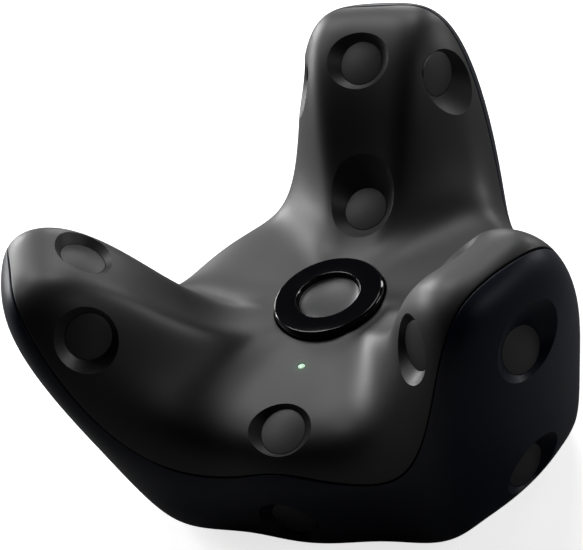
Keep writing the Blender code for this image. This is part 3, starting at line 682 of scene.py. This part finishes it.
def glow_round_light(material, centre):
    """A faint green glow painted on the plastic round the status light: a painted pool of light, emitted by
    the plastic's own material and fading with distance from the light.
    """
    nodes, links = material.node_tree.nodes, material.node_tree.links
    shader = nodes["Principled BSDF"]
    place = nodes.new("ShaderNodeTexCoord")
    away = nodes.new("ShaderNodeVectorMath")
    away.operation = "DISTANCE"
    away.inputs[1].default_value = centre
    fade = nodes.new("ShaderNodeMapRange")
    fade.interpolation_type = "SMOOTHERSTEP"
    fade.inputs["From Min"].default_value = 0.5 * MM
    fade.inputs["From Max"].default_value = 1.7 * MM
    fade.inputs["To Min"].default_value = 0.03
    fade.inputs["To Max"].default_value = 0.0
    shader.inputs["Emission Color"].default_value = (0.12, 0.75, 0.25, 1.0)
    links.new(place.outputs["Object"], away.inputs[0])
    links.new(away.outputs["Value"], fade.inputs["Value"])
    links.new(fade.outputs["Result"], shader.inputs["Emission Strength"])


def lamp_material(name, colour, strength):
    """The lit lens: bright in the middle, greener at its edge."""
    made, nodes, links, shader = shader_material(name, (0.55, 0.75, 0.6), 0.2)
    place = nodes.new("ShaderNodeTexCoord")
    away = nodes.new("ShaderNodeVectorMath")
    away.operation = "LENGTH"
    flat = nodes.new("ShaderNodeVectorMath")
    flat.operation = "MULTIPLY"
    flat.inputs[1].default_value = (1.0, 1.0, 0.0)
    blend = nodes.new("ShaderNodeMapRange")
    blend.inputs["From Max"].default_value = LIGHT_RADIUS
    mix = nodes.new("ShaderNodeMix")
    mix.data_type = "RGBA"
    mix.inputs["A"].default_value = (0.80, 0.95, 0.82, 1.0)
    mix.inputs["B"].default_value = (*colour, 1.0)
    links.new(place.outputs["Object"], flat.inputs[0])
    links.new(flat.outputs["Vector"], away.inputs[0])
    links.new(away.outputs["Value"], blend.inputs["Value"])
    links.new(blend.outputs["Result"], mix.inputs["Factor"])
    links.new(mix.outputs["Result"], shader.inputs["Emission Color"])
    shader.inputs["Emission Strength"].default_value = strength
    return made


# ---------------------------------------------------------------- camera and lights

VIEW_AZIMUTH = math.radians(-57.05)
VIEW_ELEVATION = math.radians(37.07)
VIEW_ROLL = math.radians(20.61)
VIEW_DISTANCE = 305.7 * MM
VIEW_TARGET = Vector((-3.8, -0.95, 27.63)) * MM + AXIS

WORLD_LIGHT = 0.0
FLOOR_GLOW = 0.75
FLOOR_SHADE = 0.80
BOUNCE_SHADE = 0.22

# Soft boxes: azimuth and elevation in degrees as seen from the tracker, and watts.
LIGHT_DISTANCE = 0.60
LIGHT_WIDTH = 0.16
LIGHTS = (
    ("low_right", 36.0, 12.0, 0.70),
    ("low_rear_right", 72.0, 12.0, 0.60),
    ("low_rear_left", 108.0, 12.0, 0.66),
    ("low_left", 144.0, 12.0, 1.60),
    ("low_far_left", 166.0, 10.0, 1.20),
    ("middle_rear", 90.0, 32.0, 0.12),
    ("high_rear", 90.0, 52.0, 0.86),
    ("high_rear_left", 135.0, 52.0, 1.00),
    ("high_left", 180.0, 52.0, 0.45),
    ("right", 352.0, 26.0, 0.24),
)


def add_camera():
    """The camera, rolled about its own line of sight."""
    towards = direction(VIEW_AZIMUTH, VIEW_ELEVATION)
    level = Vector((0.0, 0.0, 1.0)).cross(towards).normalized()
    upright = towards.cross(level)
    across = level * math.cos(VIEW_ROLL) - upright * math.sin(VIEW_ROLL)
    up = level * math.sin(VIEW_ROLL) + upright * math.cos(VIEW_ROLL)
    view = bpy.data.cameras.new("camera")
    view.lens = 138.6
    view.clip_start = 0.01
    camera = bpy.data.objects.new("camera", view)
    turn = Matrix((across, up, towards)).transposed().to_4x4()
    camera.matrix_world = Matrix.Translation(VIEW_TARGET + towards * VIEW_DISTANCE) @ turn
    bpy.context.scene.collection.objects.link(camera)
    bpy.context.scene.camera = camera


def add_lights():
    middle = AXIS + Vector((0.0, 0.0, 25.0 * MM))
    for name, azimuth, elevation, watts in LIGHTS:
        outward = direction(math.radians(azimuth), math.radians(elevation))
        data = bpy.data.lights.new(f"light_{name}", "AREA")
        data.shape = "SQUARE"
        data.size = LIGHT_WIDTH
        data.energy = watts
        light = bpy.data.objects.new(f"light_{name}", data)
        turn = outward.to_track_quat("Z", "Y").to_matrix().to_4x4()
        light.matrix_world = Matrix.Translation(middle + outward * LIGHT_DISTANCE) @ turn
        bpy.context.scene.collection.objects.link(light)


def add_floor():
    """A wide pale floor that lights itself, so it stays white under lamps dim enough for black plastic. What
    the tracker reflects and is lit by is a second, duller floor just under it."""
    size = 3.0
    kinds = (("floor", 0.0, FLOOR_GLOW, FLOOR_SHADE), ("floor_bounce", -0.2 * MM, 0.0, BOUNCE_SHADE))
    for name, height, glow, shade in kinds:
        corners = [(-size, -size, height), (size, -size, height), (size, size, height), (-size, size, height)]
        finish = moulded(f"pale_{name}", (shade, shade, shade), 0.9, 4.0 * MM, 0.02 * MM, specular=0.1)
        shader = finish.node_tree.nodes["Principled BSDF"]
        shader.inputs["Emission Color"].default_value = (1.0, 1.0, 1.0, 1.0)
        shader.inputs["Emission Strength"].default_value = glow
        floor = new_mesh_object(name, corners, [(0, 1, 2, 3)], finish)
        seen = glow > 0.0
        floor.visible_camera = seen
        floor.visible_shadow = False
        floor.visible_diffuse = floor.visible_glossy = not seen
    world = bpy.data.worlds.new("studio")
    world.use_nodes = True
    world.node_tree.nodes["Background"].inputs["Color"].default_value = (1.0, 1.0, 1.0, 1.0)
    world.node_tree.nodes["Background"].inputs["Strength"].default_value = WORLD_LIGHT
    bpy.context.scene.world = world
    bpy.context.scene.view_settings.view_transform = "Standard"


# ---------------------------------------------------------------- putting it together


def finish_cad_nodes(finishes):
    """Gives every CAD node that stays in view its material, by its slot in the record."""
    slots = {part["node"]: part["material_slot"] for part in frame["record"]["subparts"]}
    for name, node in frame["nodes"].items():
        node.data.materials.clear()
        node.data.materials.append(finishes[slots[name]])


def main():
    finishes = {
        "soft_black": moulded("soft_touch_black", (0.011, 0.011, 0.0115), 0.47, 0.09 * MM, 0.004 * MM),
        "navy_black": moulded("navy_black", (0.003, 0.0052, 0.015), 0.44, 0.12 * MM, 0.003 * MM, 0.28),
        "gloss_black": moulded("gloss_black", (0.004, 0.004, 0.005), 0.07, 2.0 * MM, 0.001 * MM, spread=0.02),
        "cap_black": moulded("cap_black", (0.026, 0.026, 0.027), 0.42, 0.10 * MM, 0.004 * MM),
        "window_black": moulded("window_black", (0.034, 0.034, 0.035), 0.46, 0.15 * MM, 0.002 * MM),
        "circuit_green": moulded("circuit_green", (0.010, 0.080, 0.040), 0.45, 0.4 * MM, 0.01 * MM),
        "steel": moulded("steel", (0.60, 0.60, 0.62), 0.32, 0.2 * MM, 0.002 * MM, metallic=1.0),
        "brass": moulded("brass", (0.78, 0.57, 0.25), 0.28, 0.2 * MM, 0.002 * MM, metallic=1.0),
        "chip_black": moulded("chip_black", (0.015, 0.015, 0.016), 0.45, 0.1 * MM, 0.005 * MM),
        "ceramic": moulded("ceramic", (0.70, 0.68, 0.62), 0.45, 0.2 * MM, 0.004 * MM),
        "tray_grey": moulded("tray_grey", (0.10, 0.10, 0.11), 0.55, 0.2 * MM, 0.01 * MM),
        "cell_silver": moulded("cell_silver", (0.42, 0.43, 0.45), 0.34, 1.0 * MM, 0.03 * MM, metallic=0.7),
        "pad_rubber": moulded("pad_rubber", (0.016, 0.016, 0.016), 0.80, 0.35 * MM, 0.06 * MM),
        "light_clear": lamp_material("status_light_green", (0.45, 0.80, 0.50), 0.42),
    }
    # Paints a faint green glow of light, as emission, into the soft black plastic round the status light.
    glow_round_light(finishes["soft_black"], (0.0, LIGHT_Y, light_top()))
    gold = moulded("contact_gold", (0.85, 0.62, 0.24), 0.25, 0.2 * MM, 0.001 * MM, metallic=1.0)
    finish_cad_nodes(finishes)

    cover = make_cover(finishes["soft_black"])
    housing = make_housing(finishes["navy_black"])
    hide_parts("top_cover")
    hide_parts("lower_housing")
    still = [(cover, "soft_black"), (housing, "navy_black")]
    still += [(piece, "window_black") for piece in make_windows(finishes["window_black"])]
    still.append((make_light(finishes["light_clear"]), "light_clear"))
    still.append((make_pad(finishes["pad_rubber"]), "pad_rubber"))
    still.append((make_insert(finishes["brass"]), "brass"))
    still += [(piece, "brass") for piece in make_contacts(gold)]
    ring, cap = make_button(finishes["gloss_black"], finishes["cap_black"])
    moving = [(ring, "gloss_black"), (cap, "cap_black")]
    for body, pieces in (("body", still), ("button", moving)):
        for piece, slot in pieces:
            piece.matrix_world = Matrix.Translation(AXIS) @ piece.matrix_world
            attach(piece, body)

    add_floor()
    add_camera()
    add_lights()


main()
